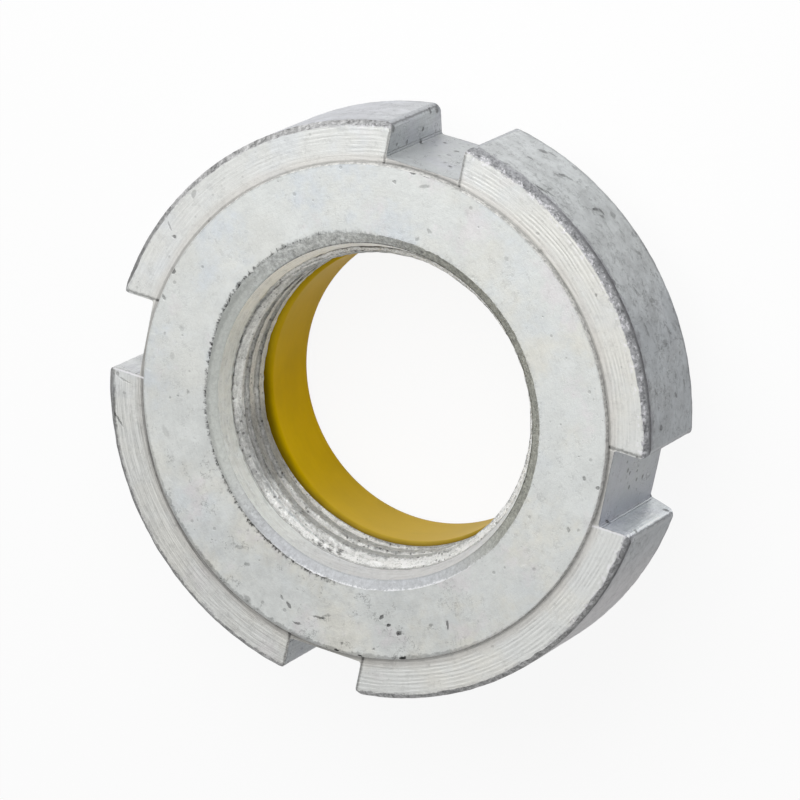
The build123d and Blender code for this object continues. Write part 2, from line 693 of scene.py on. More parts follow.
# %% [markdown]
# ## Finishes
#
# A finish is a material whose nodes all come from one method. On top of it stand the few tools that each
# surface uses: a mix of two colours, a colour made darker, and soft steps from one value to another.

# %% Finishes
class Finish:
    """A procedural material, or the nodes of the world, and the one method that adds nodes."""

    def __init__(self, name, tree=None):
        if tree is None:
            self.material = bpy.data.materials.new(name)
            self.material.use_nodes = True
            tree = self.material.node_tree
        self.tree = tree
        self.tree.nodes.clear()

    def node(self, kind, settings=None, sockets=None, out=0):
        """Adds a node: its settings first, then the value or the link of each socket."""
        made = self.tree.nodes.new(kind)
        for name, value in (settings or {}).items():
            setattr(made, name, value)
        for name, value in (sockets or {}).items():
            if isinstance(value, Wire):
                self.tree.links.new(value.socket, made.inputs[name])
            else:
                made.inputs[name].default_value = value
        return Wire(self, made.outputs[out]) if made.outputs else None

    def vector(self, operation, sockets, out=0):
        """One Vector Math node."""
        return self.node("ShaderNodeVectorMath", {"operation": operation}, sockets, out)

    def mix(self, factor, first, second):
        """A colour between two colours."""
        first, second = [(*c, 1) if isinstance(c, tuple) else c for c in (first, second)]
        return self.node("ShaderNodeMix", {"data_type": "RGBA"}, {0: factor, 6: first, 7: second}, out=2)

    def shade(self, colour, amount):
        """A colour times a number."""
        return self.vector("SCALE", {0: colour, "Scale": amount})

    def rise(self, value, low, high, top=1):
        """0 where the value is below low, the top above high, and an S-curve between."""
        sockets = {"Value": value, "From Min": low, "From Max": high, "To Max": top}
        return self.node("ShaderNodeMapRange", {"interpolation_type": "SMOOTHSTEP"}, sockets)

    def fall(self, value, low, high):
        """1 where the value is below low, 0 above high."""
        return 1 - self.rise(value, low, high)

    def near(self, value, middle, reach):
        """1 at the middle value, falling to 0 at the reach on either side."""
        return self.fall(abs(value - middle), 0, reach)


# %% [markdown]
# ## The place on the nut
#
# The object's own coordinates, turned from metres into millimetres, give the radius and a direction on
# the unit circle. Noise that reads the direction and the radius at different scales is drawn out along
# the circle, as turning marks are, and it has no seam.

# %% The place
class Place(Finish):
    """A finish of the nut, with coordinates in millimetres."""

    def __init__(self, name):
        super().__init__(name)
        coordinates = self.node("ShaderNodeTexCoord", out="Object")
        self.all = self.vector("SCALE", {0: coordinates, "Scale": 1 / METRE})
        self.x = self.node("ShaderNodeSeparateXYZ", None, {0: self.all})
        self.y, self.z = self.x.other(1), self.x.other(2)
        self.radius = (self.x * self.x + self.y * self.y) ** 0.5
        self.across_x = self.x / self.radius
        self.across_y = self.y / self.radius

    def joined(self, x, y, z):
        """A vector of three numbers."""
        return self.node("ShaderNodeCombineXYZ", None, {0: x, 1: y, 2: z})

    def stretched(self, x, y, z):
        """The place with each axis multiplied by a number."""
        return self.vector("MULTIPLY", {0: self.all, 1: (x, y, z)})

    def towards(self, degrees):
        """1 on the side of the nut at this angle, -1 on the far side."""
        turn = math.radians(degrees)
        return self.across_x * math.cos(turn) + self.across_y * math.sin(turn)

    def side(self, degrees, low, high):
        """1 on the side of the nut at this angle, 0 on the far side, with the change from low to high."""
        return self.rise(self.towards(degrees), low, high)


# %% [markdown]
# ## Patterns
#
# Every surface is told apart by its noise: how large the lumps are, how fine the detail is and how hard
# the edges are. So the patterns are kept together here, and a finish only names them and says how much
# of each it takes. Each seed gives another noise, and the same one in every run.

# %% Patterns
class Skin(Place):
    """A finish of the nut with the patterns that its surfaces are made of."""

    def cloud(self, scale, detail=2, roughness=0.5, seed=0, place=None):
        """Noise between 0 and 1. The scale is in lumps to a millimetre.

        Three scales draw it out along the circle: lumps to a radian, to a millimetre of radius and to
        a millimetre of height.
        """
        place = place or self.all
        if isinstance(scale, tuple):
            along, across, up = scale
            rest = self.radius * across + self.z * up
            place, scale = self.joined(self.across_x * along, self.across_y * along, rest), 1
        sockets = {"Vector": place, "W": seed, "Scale": scale, "Detail": detail, "Roughness": roughness}
        return self.node("ShaderNodeTexNoise", {"noise_dimensions": "4D"}, sockets)

    def swing(self, *lumps):
        """Noise of strong contrast between -1 and 1, so that its factor is its share of the brightness."""
        return self.rise(self.cloud(*lumps), 0.38, 0.62, 2) - 1

    def blots(self, low, high, *lumps):
        """Patches where the noise is high, with edges between low and high."""
        return self.rise(self.cloud(*lumps), low, high)

    def specks(self, scale, share, size):
        """Small spots: of the cells of a Voronoi pattern, this share holds a spot."""
        sockets = {"Vector": self.all, "Scale": scale}
        cell = self.node("ShaderNodeTexVoronoi", {"voronoi_dimensions": "3D"}, sockets)
        chance = self.node("ShaderNodeSeparateColor", None, {0: cell.other("Color")})
        chosen = self.rise(chance, 1 - share, 1 - share + 0.01)
        reach = chance.other(1) * size
        return chosen * self.fall(cell, reach * 0.6, reach + 0.02)

    def warped(self, scale, amount):
        """The place moved about by noise, which makes the outlines of marks ragged."""
        wobble = self.cloud(scale, 3, 0.6).other("Color")
        moved = self.vector("MULTIPLY_ADD", {0: wobble, 1: (amount,) * 3, 2: (-amount / 2,) * 3})
        return self.vector("ADD", {0: moved, 1: self.all})

    def hairlines(self, degrees, seed, share):
        """Fine straight scratches in one direction over a flat face."""
        turn = math.radians(degrees)
        along = self.x * math.cos(turn) + self.y * math.sin(turn)
        across = self.y * math.cos(turn) - self.x * math.sin(turn)
        streak = self.joined(along * 0.7, across * 8, self.z)
        return self.blots(0.9 - share, 1 - share, 1, 2, 0.5, seed, streak)

    def marks(self, place, kind, entries):
        """The mask of single marks, which are all of one kind."""
        mask = None
        for entry in entries:
            centre, half_sizes, turn, depth = kind(*entry)
            sockets = {"Vector": place, "Location": centre, "Rotation": turn, "Scale": half_sizes}
            ball = self.node("ShaderNodeMapping", {"vector_type": "TEXTURE"}, sockets)
            mark = self.rise(self.vector("LENGTH", {0: ball}, out="Value"), 1, 0.5, depth)
            mask = mask.at_least(mark) if mask else mark
        return mask

    def close(self, colour, roughness, height, metallic=0.25, **more):
        """Ends the finish with its shader. The height of the bump is in millimetres."""
        normal = self.node("ShaderNodeBump", None, {"Height": height, "Distance": METRE, "Strength": 1})
        sockets = {"Base Color": colour, "Roughness": roughness, "Metallic": metallic, "Normal": normal}
        shader = self.node("ShaderNodeBsdfPrincipled", None, {**sockets, **more})
        self.node("ShaderNodeOutputMaterial", None, {"Surface": shader})
        print("finish", self.material.name, "has", len(self.tree.nodes), "nodes")


# %% [markdown]
# ## Single marks
#
# The photographed nut also has single dents and scratches, which noise can't place. Each of them is a
# Mapping node that carries the mark to a unit ball, and the length inside that ball is the mark's mask.
# A kind of mark turns one entry of a table into the ball's centre, half sizes, turn and depth.

# %% Kinds of marks
mark_reach = 0.85
deep_enough = 3.0


def flat_mark(degrees, radius, length, width, turn=0, depth=1):
    """A mark on a flat front face, drawn out along the circle, or radially when turned by 90 degrees."""
    angle = math.radians(degrees)
    centre = (radius * math.cos(angle), radius * math.sin(angle), face_height)
    half_sizes = (width * mark_reach, length * mark_reach, deep_enough)
    return centre, half_sizes, (0, 0, angle + math.radians(turn)), depth


def rim_mark(degrees, height, length, width, turn=0, depth=1):
    """A mark on the rim, drawn out along the circle, or upright when turned by 90 degrees."""
    angle = math.radians(degrees)
    centre = (rim_radius * math.cos(angle), rim_radius * math.sin(angle), height)
    return centre, (deep_enough, length * mark_reach, width * 1.3), (math.radians(turn), 0, angle), depth


def dot(x, y, z, size, depth=1):
    """A round pit anywhere on the nut."""
    return (x, y, z), (size * mark_reach,) * 3, (0, 0, 0), depth


# %% [markdown]
# ## Zinc
#
# The plating is bright, but its skin is never one colour. Thin chromate gives it soft bluish, warm and
# pinkish patches a few millimetres wide, and handling leaves grey smudges and tiny flecks. All steel
# finishes share that skin, and each surface adds the marks of the tool that cut it.
#
# A picture of zinc would be quicker, but it would stretch over the slots and would repeat on every
# tooth. Layers of noise follow the metal everywhere.

# %% Zinc plating
zinc_plain = (0.705, 0.725, 0.71)
zinc_blue = (0.67, 0.71, 0.74)
zinc_warm = (0.735, 0.73, 0.675)
zinc_pink = (0.73, 0.705, 0.715)


class Zinc(Skin):
    """A finish of plated steel."""

    def plating(self, seed):
        """The tint that all steel surfaces share, before any shading: cooler on one side of the nut."""
        cool = self.side(50, -0.4, 0.9)
        blue = self.blots(0.47, 0.64, 0.2, 4, 0.65, seed)
        warm = self.blots(0.46, 0.64, 0.16, 4, 0.65, seed + 3)
        pink = self.blots(0.56, 0.7, 0.26, 4, 0.65, seed + 6)
        tint = self.mix(blue * (cool * 0.7 + 0.3), zinc_plain, zinc_blue)
        tint = self.mix(warm * (1 - cool * 0.7), tint, zinc_warm)
        return self.mix(pink * 0.7, tint, zinc_pink)


# %% [markdown]
# ## The contact face
#
# The raised ring was faced with a fine feed and then rubbed, so only a trace of the turning is left. Its
# dents are placed one by one from the photograph, and fine flecks fill in between them.

# %% Dents, stains and scratches of the contact face
face_dents = [
    (-165.2, 17.7, 0.4, 0.2, 30), (-163, 18.4, 0.3, 0.2, 30, 0.9), (-160.3, 19.1, 0.4, 0.26, 25),
    (-146.4, 19.1, 0.6, 0.16, 75, 0.9), (177.1, 19, 0.8, 0.17, 12, 0.8),
    (171.9, 20.3, 0.6, 0.16, 15, 0.8), (168.1, 19.2, 0.55, 0.2, -40, 0.9),
    (165.4, 18.9, 0.36, 0.16, -40, 0.6), (78.7, 21.1, 0.4, 0.24, 60, 0.7),
    (5.7, 20.2, 0.22, 0.18, 0, 0.6), (-88.9, 19.8, 0.26, 0.2, 0, 0.7), (-90, 21.2, 0.24, 0.2, 0, 0.8),
    (-102.6, 19.9, 0.32, 0.2, 30, 0.6), (-175.7, 20.6, 0.24, 0.22, 0, 0.6),
    (-167.4, 20.6, 0.22, 0.2, 0, 0.6), (62.9, 15.9, 0.4, 0.3, 0, 0.6), (1.6, 21.38, 0.4, 0.26),
    (-1.8, 21.38, 0.34, 0.24), (-160.2, 21.3, 0.44, 0.28), (-176.8, 21.33, 0.34, 0.22),
    (-170.9, 21.38, 0.34, 0.2), (71.9, 21.33, 0.36, 0.24),
]
face_stains = [
    (-150.9, 18.7, 0.32, 0.2, 0, 0.6), (178.9, 18.6, 0.6, 0.14, 35, 0.5),
    (158.1, 20.9, 0.6, 0.4, 0, 0.5), (-1.8, 20.5, 0.8, 0.26, 20, 0.5), (-101.4, 20.7, 0.22, 0.2, 0, 0.5),
    (86.8, 20, 0.22, 0.2, 0, 0.5), (102.5, 18.1, 0.2, 0.18, 0, 0.6), (100.7, 17.2, 0.24, 0.18, 0, 0.5),
    (148.1, 17.9, 0.6, 0.26, 50, 0.4), (152.9, 18.5, 0.5, 0.18, 30, 0.5), (-6.4, 17, 0.34, 0.24, 0, 0.5),
    (-3.4, 16, 0.3, 0.22, 60, 0.5), (-28.7, 19, 0.4, 0.3, 0, 0.35), (92, 18.9, 0.5, 0.34, 0, 0.25),
    (84, 18.6, 0.4, 0.3, 40, 0.25), (112, 19.6, 0.9, 0.4, 20, 0.22),
]
light_scratches = [
    (96.9, 21, 0.5, 0.12, 75), (88, 21, 0.55, 0.13, 100), (124, 20.4, 0.6, 0.1, 30),
    (-118, 18.3, 0.5, 0.1, -20),
]
print(len(face_dents) + len(face_stains) + len(light_scratches), "single marks on the contact face")

# %% Finish of the contact face
skin = Zinc("zinc_contact_face")
tint = skin.plating(1)
rings = skin.swing((5, 7, 0), 3, 0.6)
grain = skin.swing(4.5, 4, 0.7)
blotches = skin.swing(0.9, 5, 0.7, 15)
clouds = skin.swing(0.24, 4, 0.6, 18)
patchy = skin.blots(0.42, 0.6, 0.22, 3, 0.6, 19)
smears = skin.blots(0.51, 0.6, 1.1, 6, 0.8, 20, skin.warped(0.9, 1.6)) * (patchy * 0.8 + 0.2)
handled_side = skin.side(165, 0.3, 0.9)
flecks = skin.specks(1.4, 0.16, 0.3)
pores = skin.specks(3.4, 0.25, 0.4)
hairs = skin.hairlines(35, 24, 0.31) + skin.hairlines(-48, 26, 0.31)
cracks = skin.near(skin.cloud(0.5, 5, 0.72, 27), 0.5, 0.015)
cracks = cracks * skin.blots(0.51, 0.58, 0.55, 3, 0.6, 28) * (handled_side * 0.8 + 0.2)
# Painted shade: the contact face is darker towards the side at 165 degrees, away from the lamp.
painted_low_shade = skin.side(165, -0.4, 1)
warped = skin.warped(2, 0.55)
dents = skin.marks(warped, flat_mark, face_dents)
stains = skin.marks(warped, flat_mark, face_stains)
scraped = skin.marks(skin.all, flat_mark, light_scratches)
ragged = skin.cloud(2.4, 4, 0.7, 40)
outer_edge = skin.radius + ragged * (handled_side * 0.45 + 0.5)
outer_edge = skin.rise(outer_edge, contact_ring_radius - 0.02, contact_ring_radius + 0.16)
outer_edge = outer_edge * (handled_side * 0.8 + 0.8)
wide_mouth = skin.side(50, 0.75, 1) * 0.35
spurs = skin.cloud((62, 1.2, 0), 5, 0.8, 44)
torn = skin.fall(skin.radius - wide_mouth - spurs * 2.2, mouth_radius - 1.18, mouth_radius - 0.86)
spurs_grit = skin.swing(3.4, 4, 0.8, 45)
dark_side = skin.side(112, -0.3, 0.5)
light_side = skin.side(205, 0.8, 0.97)
fringe = torn * (dark_side * 0.64 + 0.12) * (1 - light_side * 0.9) * (0.8 + spurs_grit * 0.5)
dark = flecks * 0.24 + pores * 0.08 + smears * 0.12 + outer_edge * 0.22 + fringe
dark = dark + dents.at_least(stains) * 0.62
# This sum also holds the painted shade towards the side at 165 degrees.
dark = dark + cracks * 0.4 + painted_low_shade * 0.1 + hairs * 0.04 - scraped * 0.1
shade = 1 - dark + grain * 0.018 + blotches * (handled_side * 0.02 + 0.025)
shade = shade + clouds * (handled_side * 0.02 + 0.025) + rings * 0.008
colour = skin.shade(tint, shade)
height = grain * 0.003 + rings * 0.001 + blotches * 0.002 - dents * 0.07 - flecks * 0.02 - smears * 0.006
height = height - fringe * 0.12
skin.close(colour, 0.46 + dents * 0.2, height)

# %% [markdown]
# ## The turned annulus
#
# Round the contact ring the tool ran at a coarse feed. It left ridges a third of a millimetre apart,
# cream-coloured where the plating caught them and darker between. They are strong on one side and almost
# rubbed away on the other.

# %% Marks of the annulus
annulus_marks = [
    (65.7, 23, 0.26, 0.26), (64.6, 23.9, 0.7, 0.14, 60, 0.5), (55.8, 24.1, 0.6, 0.3, 30, 0.5),
    (99.3, 24.1, 0.3, 0.24, 0, 0.6), (-47.6, 23.5, 0.24, 0.22, 0, 0.7), (100.5, 23.4, 1, 0.14, 70, 0.4),
    (108.8, 24.2, 1.1, 0.16, 28, 0.8), (-82, 24.1, 0.3, 0.2, 0, 0.5), (-98.5, 22.2, 0.24, 0.2, 0, 0.8),
    (-30, 22.4, 0.26, 0.2, 0, 0.4),
]
print(len(annulus_marks), "single marks on the annulus")

# %% Finish of the annulus
feed = 0.355
skin = Zinc("zinc_annulus")
tint = skin.mix(0.45, skin.plating(11), (0.725, 0.72, 0.695))
drift = skin.cloud((4, 0.8, 0), 3, 0.5, 2)
ridge_turns = (skin.radius / feed + drift * 1.6) * (2 * math.pi)
ridges = ridge_turns.maths("SINE", ridge_turns)
fine_lines = skin.swing((6, 11, 0), 4, 0.75)
sector = skin.blots(0.35, 0.62, (1.3, 0, 0), 1, 0.5, 8)
rubbed = skin.side(110, -0.1, 0.9)
patches = skin.blots(0.36, 0.62, (9, 0.6, 0), 4, 0.65, 9)
grain = skin.swing(4.2, 4, 0.75)
blotches = skin.swing(0.8, 5, 0.65, 19)
smears = skin.blots(0.52, 0.6, 1.3, 6, 0.8, 21, skin.warped(0.9, 1.2))
flecks = skin.specks(1.7, 0.16, 0.3)
ragged = skin.cloud(2.6, 5, 0.8, 41)
behind_step = skin.side(132, -0.1, 1)
step_foot = contact_ring_radius + 0.01
# Painted shade at the foot of the contact ring's step: a dark line, and a darker, warmer band beside it.
inner_line = skin.fall(skin.radius - ragged * 0.14 - behind_step * 0.23, step_foot, step_foot + 0.13)
inner_side = skin.fall(skin.radius - ragged * 0.5, step_foot + 0.09, step_foot + 0.79)
worn = skin.side(-50, 0.1, 0.75)
low_left = skin.side(145, 0.45, 0.9)
low_side = skin.side(-150, 0.3, 0.8)
by_the_slot = skin.side(101, 0.982, 0.994)
outer_dirt = skin.radius + ragged * 1.1 + by_the_slot * 0.22
outer_dirt = skin.rise(outer_dirt, rim_radius + 0.02, rim_radius + 0.22)
outer_dirt = outer_dirt * skin.side(150, 0.3, 0.8) * (by_the_slot * 0.25 + 1)
blows = skin.cloud((30, 1.2, 0), 5, 0.8, 31)
bruised = skin.rise(skin.radius + blows * 1.6, rim_radius + 0.25, rim_radius + 0.45)
# Painted highlights: glints near the outer margin on the worn side.
painted_glints = skin.blots(0.54, 0.62, 2.6, 3, 0.6, 33) * worn
painted_glints = painted_glints * skin.rise(skin.radius + ragged * 0.8, rim_radius - 0.75, rim_radius - 0.3)
cut_edge = slot_half - 0.1
# A burr along one slot's edge, with a painted highlight on it.
burr_and_glint = skin.near(skin.x + ragged * 0.16, -slot_half - 0.02, 0.14)
strip_x, strip_y = [skin.fall(abs(across), slot_half - 0.2, slot_half) for across in (skin.x, skin.y)]
strip = strip_x.at_least(strip_y)
dull_cut = skin.near(skin.x - ragged * 0.5, cut_edge, 0.24)
dull_cut = dull_cut.at_least(skin.near(abs(skin.y) - ragged * 0.4, cut_edge, 0.2))
dents = skin.marks(skin.warped(2.2, 0.34), flat_mark, annulus_marks)
# The painted shade of the band at the step's foot.
tint = skin.mix(inner_side * 0.5, tint, (0.6, 0.575, 0.54))
tint = skin.mix(bruised * (worn * 0.55 + 0.3), tint, (0.36, 0.355, 0.39))
ridge_force = (sector * 0.5 + 0.5) * (1 - rubbed * 0.7) * patches
# Painted shade: the line and band at the step's foot, and a darker lower left side.
dark = strip * skin.side(-45, 0.2, 0.6) * 0.24 + inner_line * (low_left * 0.05 + 0.36 - low_side * 0.2)
dark = dark + inner_side * low_left * 0.12 + outer_dirt * 0.45 + smears * 0.1 + flecks * 0.18
dark = dark + dents * 0.55 + dull_cut * 0.55 + low_left * 0.14
lines = ridges * ridge_force * 0.085 + fine_lines * (low_left * 0.11 + 0.035)
shade = 1 - dark + lines + grain * 0.022 + blotches * 0.022
colour = skin.shade(tint, shade.at_least(0.1))
# Painted highlights: the glints and the bright line on the burr.
colour = skin.mix((painted_glints * 0.7).at_least(burr_and_glint * 0.85), colour, (0.87, 0.86, 0.89))
height = ridges * ridge_force * 0.014 + fine_lines * 0.003 + grain * 0.002 - dents * 0.06
height = height - bruised * 0.03 - dull_cut * 0.04
skin.close(colour, 0.46, height)

# %% [markdown]
# ## The rim
#
# The rim is the outside of the bar that the nut was cut from. Its skin is duller and bluer than the
# turned faces, mottled, and scratched by the other nuts in the barrel.

# %% Dents and scratches of the rim
rim_marks = [
    (-8.5, 12.4, 0.4, 0.24, 0, 0.7), (-16.9, 10.6, 0.45, 0.16, 20, 0.6), (-16.8, 7.6, 0.6, 0.3, 40, 1),
    (-18.2, 7, 0.7, 0.14, 20, 0.9), (-23.1, 10, 0.8, 0.14, 30, 0.6), (-24.2, 14.6, 1.1, 0.15, 15, 0.9),
    (-25.6, 14.1, 1, 0.14, 25, 0.9), (-25, 13.5, 0.6, 0.18, 70, 0.7), (-23.4, 9.4, 0.7, 0.2, 75, 1),
    (-24.5, 8.9, 0.6, 0.16, 20, 0.9), (-32.8, 9.6, 0.8, 0.16, 80, 1), (-33.8, 9, 0.7, 0.16, 10, 0.9),
    (-34.6, 9.5, 0.5, 0.14, 60, 0.7), (-35.3, 7.6, 0.5, 0.34, 0, 0.6), (-39.5, 8.4, 0.6, 0.3, 0, 0.5),
    (-23, 6.4, 0.5, 0.2, 0, 0.6), (-50.7, 11.7, 0.9, 0.18, 30, 0.7), (-47, 14.9, 0.6, 0.26, 60, 1),
    (-44, 7.8, 0.8, 0.22, 60, 0.6), (-53.5, 9.6, 0.8, 0.24, 80, 0.6), (-58, 12.6, 0.9, 0.16, 10, 0.5),
    (-62, 9.8, 0.5, 0.3, 30, 0.6), (-77.1, 13, 0.34, 0.26, 0, 0.8), (-81.2, 6.4, 0.5, 0.4, 0, 1),
    (-72.3, 9.4, 0.5, 0.2, 40, 0.8), (-70.8, 7.4, 0.4, 0.2, 0, 0.6), (-96.1, 8.6, 0.5, 0.2, 0, 0.7),
    (-98, 10.3, 0.5, 0.2, 30, 0.6), (-98.2, 12.8, 0.6, 0.2, 60, 0.6), (-60, 8.4, 0.9, 0.16, 35, 0.5),
    (30, 14.6, 0.26, 0.2, 0, 0.9), (26, 14.8, 0.24, 0.2, 0, 0.9),
]
print(len(rim_marks), "single marks on the rim")

# %% Finish of the rim
skin = Zinc("zinc_rim")
tint = skin.mix(0.75, skin.plating(21), (0.55, 0.588, 0.63))
mottle = skin.swing(0.55, 5, 0.62, 22)
clouds = skin.swing(0.24, 4, 0.65, 23)
grain = skin.swing(2.6, 5, 0.8)
lilac = skin.side(30, 0.55, 0.95)
battered = skin.blots(0.42, 0.58, 0.16, 3, 0.6, 24) * skin.side(-60, 0.45, 0.9)
nicks = skin.blots(0.54, 0.6, 1.6, 6, 0.8, 28, skin.warped(1.1, 1.4))
flecks = skin.specks(1.9, 0.35, 0.36)
dents = skin.marks(skin.warped(1.5, 0.6), rim_mark, rim_marks)
ragged = skin.cloud(1.8, 4, 0.7, 42)
rear_edge = skin.fall(skin.z - ragged * 0.6, 5.75, 6)
tint = skin.mix(lilac * 0.5, tint, (0.62, 0.61, 0.66))
tint = skin.mix(skin.side(-130, 0.86, 0.98) * 0.8, tint, (0.82, 0.79, 0.8))
# Painted light: the side at -20 degrees, facing the lamp, is tinted lighter.
tint = skin.mix(skin.side(-20, 0.76, 0.96) * 0.7, tint, (0.7, 0.725, 0.72))
worn = skin.side(-50, 0.15, 0.7)
blows = skin.cloud((30, 1.2, 1.6), 5, 0.8, 31)
bruised = skin.rise(skin.z + blows * 4.4, 16.75, 17.05) * worn
tint = skin.mix(bruised * 0.7, tint, (0.34, 0.34, 0.375))
cracks = skin.near(skin.cloud(0.8, 5, 0.7, 29), 0.5, 0.014) * skin.blots(0.53, 0.6, 0.6, 3, 0.6, 30)
dark = flecks * 0.24 * (battered * 0.7 + 0.3) + nicks * 0.32 * (battered * 0.85 + 0.15)
dark = dark + dents.at_least(cracks * 0.7) * 0.55 + rear_edge * 0.25
shade = 1.02 + mottle * 0.1 + clouds * 0.05 + grain * (battered * 0.06 + 0.03) - dark
# Painted shade: the side at -88 degrees, away from the lamp, is darker.
shade = shade - skin.side(-88, 0.1, 0.9) * 0.16
colour = skin.shade(tint, shade.at_least(0.1))
height = grain * 0.002 + mottle * 0.002 - dents * 0.07 - nicks * 0.02 - flecks * 0.02
skin.close(colour, 0.38 + mottle * 0.03, height, 0.12)

# %% [markdown]
# ## The battered chamfer
#
# Where the rim meets the front, the barrel has crushed the edge. On the worst side it is a lilac-grey
# band with a thin dark fold along the rim, and bright glints, painted as highlights, where fresh metal
# shows. On the other side it is only a dark line.

# %% Finish of the chamfer
skin = Zinc("zinc_chamfer")
inward = rim_radius - skin.radius
worn = skin.side(-50, 0.15, 0.7)
soft = skin.side(40, 0.78, 0.97).at_least(skin.side(-155, 0.5, 0.85))
blows = skin.swing((30, 1.2, 2), 5, 0.8, 31)
grit = skin.swing(3.2, 5, 0.8, 32)
# Painted highlights: glints where fresh metal shows, on the worn side.
painted_glints = skin.blots(0.5, 0.56, 2.6, 3, 0.6, 33) * worn
tint = skin.mix(worn, (0.2, 0.2, 0.2), (0.34, 0.345, 0.36))
tint = skin.mix(soft, tint, (0.42, 0.42, 0.42))
folded = skin.side(-75, 0.55, 0.85) * (0.75 + blows * 0.25)
fold = skin.fall(inward - grit * 0.04, 0.06, 0.16) * folded
inner_side = skin.rise(inward + grit * 0.1 + blows * 0.12, 0.22, 0.42)
shade = 1 + blows * 0.3 + grit * (soft * 0.15 + 0.3)
colour = skin.shade(tint, shade.at_least(0.15))
colour = skin.mix(inner_side * worn * 0.4, colour, (0.58, 0.58, 0.6))
colour = skin.mix(fold * 0.9, colour, (0.06, 0.06, 0.065))
# The painted highlights of the glints.
colour = skin.mix(painted_glints * inner_side * 0.85, colour, (0.87, 0.86, 0.9))
skin.close(colour, 0.42, blows * 0.02 + grit * 0.008 - fold * 0.05)

# %% [markdown]
# ## The ring's step, the countersink and the lead-in
#
# The step is a thin wall, and painted shade at its foot draws a dark line round the contact ring. The
# countersink was cut with a chattering tool: it is torn on one side, smooth and bluish on the other, with a
# painted highlight along its mouth on one side. The lead-in behind it is smooth and bright, and mirrors
# what is seen through the hole, and its top side has that reflection painted into its colour as well.

# %% Finish of the step
skin = Zinc("zinc_step")
grime_and_shade = skin.cloud(2.4, 5, 0.8, 51)
# Painted shade: the foot of the step, where it meets the annulus, is darker.
foot = skin.fall(skin.z - annulus_height + grime_and_shade * 0.1, 0.06, 0.24)
colour = skin.mix(skin.rise(grime_and_shade, 0.42, 0.56), (0.44, 0.44, 0.43), (0.74, 0.735, 0.715))
colour = skin.mix(foot * 0.4, colour, (0.2, 0.2, 0.19))
skin.close(colour, 0.5, grime_and_shade * 0.03, 0.2)

# %% Finish of the countersink
skin = Zinc("zinc_countersink")
chatter = skin.swing((34, 2.5, 0), 5, 0.8)
grit = skin.swing(3, 5, 0.82, 64)
left_side = skin.side(100, 0.5, 0.9)
lower_side = skin.side(190, 0.35, 0.85)
right_side = skin.side(-65, 0.1, 0.75)
tint = skin.mix(0.6, skin.plating(61), (0.6, 0.61, 0.59))
tint = skin.mix(left_side * 0.9, tint, (0.53, 0.55, 0.52))
tint = skin.mix(lower_side * 0.9, tint, (0.51, 0.525, 0.55))
tint = skin.mix(right_side * 0.9, tint, (0.37, 0.375, 0.33))
rough_side = 1 - (left_side * 0.85).at_least(lower_side * 0.7)
specks = skin.specks(2, 0.4, 0.4) * rough_side
inner_line = skin.fall(skin.radius - grit * 0.03, lead_in_radius + 0.05, lead_in_radius + 0.15)
mouth_line = skin.rise(skin.radius + chatter * 0.1 + grit * 0.05, 15.15, 15.3) * left_side
# Painted highlight: a bright line on the mouth's edge, on the side at 198 degrees.
painted_mouth_glint = skin.rise(skin.radius + grit * 0.06 + chatter * 0.05, 15.28, 15.38)
painted_mouth_glint = painted_mouth_glint * skin.side(198, 0.72, 0.92)
shade = 1 + grit * (rough_side * 0.24 + 0.035) + chatter * (rough_side * 0.14 + 0.03)
shade = shade - specks * 0.35 - inner_line * rough_side * 0.55 - mouth_line * 0.25
colour = skin.shade(tint, shade.at_least(0.1))
# The painted highlight on the mouth's edge.
colour = skin.mix(painted_mouth_glint * 0.75, colour, (0.9, 0.9, 0.92))
height = chatter * (rough_side * 0.02 + 0.001) + grit * (rough_side * 0.02 + 0.001)
skin.close(colour, 0.55, height, 0.12)

# %% Finish of the lead-in
start_height = 14.2
skin = Zinc("zinc_lead_in")
low_side = skin.side(205, 0.5, 0.95)
top_side = skin.side(15, 0.3, 0.9)
tint = skin.mix(0.85, skin.plating(71), (0.91, 0.955, 0.955))
tint = skin.mix(low_side * 0.9, tint, (0.72, 0.735, 0.765))
# Painted reflection: the top side, which mirrors the white seen through the hole, is tinted lighter.
tint = skin.mix(top_side * 0.9, tint, (0.95, 0.97, 0.98))
streaks = skin.swing((4, 0, 7), 5, 0.75)
torn = skin.blots(0.52, 0.6, (12, 0, 1.6), 5, 0.8, 73)
grain = skin.swing(3.6, 4, 0.75, 74)
blotches = skin.swing(0.8, 4, 0.7, 75)
thread_line = skin.near(skin.z + streaks * 0.06, start_height + 0.08, 0.12)
shade = 1 + streaks * 0.06 + grain * 0.035 + blotches * 0.035 - torn * 0.13 - thread_line * 0.4
colour = skin.shade(tint, shade)
skin.close(colour, 0.4, streaks * 0.003 + grain * 0.002 - torn * 0.01, top_side * 0.5 + 0.4)

# %% [markdown]
# ## The thread
#
# A tap tears zinc-plated steel a little. The flanks are streaked along the turn and painted brighter
# than the flat crests, as the light falls on them; the crests are painted lighter on the left side, the
# roots and a line along each crest's edge are painted dark as shade, and everything is full of tiny
# flecks. The height above a crest, counted in turns, comes from the angle and the height, so the colour
# follows the helix exactly.

